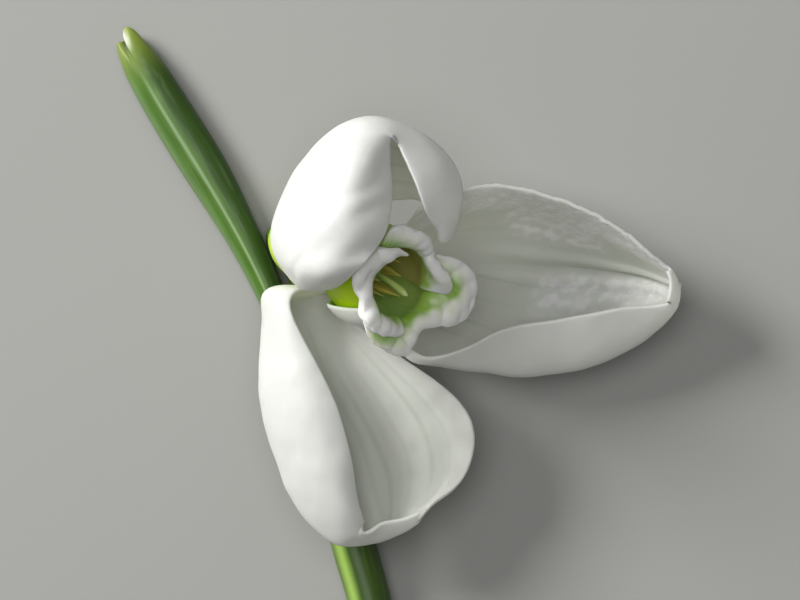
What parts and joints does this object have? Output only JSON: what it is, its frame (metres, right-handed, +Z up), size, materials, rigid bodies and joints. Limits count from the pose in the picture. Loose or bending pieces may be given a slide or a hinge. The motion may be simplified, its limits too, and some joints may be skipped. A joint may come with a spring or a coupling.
{
  "type": "snowdrop flower",
  "caption": "Single cut snowdrop flower lying on its back: three hooded white outer tepals spread round a notched green-throated cup, on a green scape with its spathe.",
  "frame": {"origin": "middle of the footprint, on the surface that the flower lies on", "axes": "+Z up from the surface, +Y along the scape towards the flower, +X to the right of it"},
  "size_m": [0.048, 0.0818, 0.0219],
  "materials": {
    "outer_tepal": "satin, waxy white petal",
    "inner_tepal": "satin, white rim over a lime green wall",
    "ovary": "smooth lime green skin",
    "style": "smooth pale green",
    "filament": "smooth white",
    "anther": "matte ochre yellow",
    "stalk": "smooth waxy green"
  },
  "bodies": {
    "root": {"outer_tepal_top": "outer_tepal", "outer_tepal_right": "outer_tepal", "outer_tepal_lower": "outer_tepal", "inner_tepal_left": "inner_tepal", "inner_tepal_top": "inner_tepal", "inner_tepal_lower": "inner_tepal", "ovary": "ovary", "style": "style", "filament_1": "filament", "filament_2": "filament", "filament_3": "filament", "filament_4": "filament", "filament_5": "filament", "filament_6": "filament", "anther_1": "anther", "anther_2": "anther", "anther_3": "anther", "anther_4": "anther", "anther_5": "anther", "anther_6": "anther", "scape": "stalk", "spathe": "stalk", "pedicel": "stalk"}
  },
  "joints": []
}
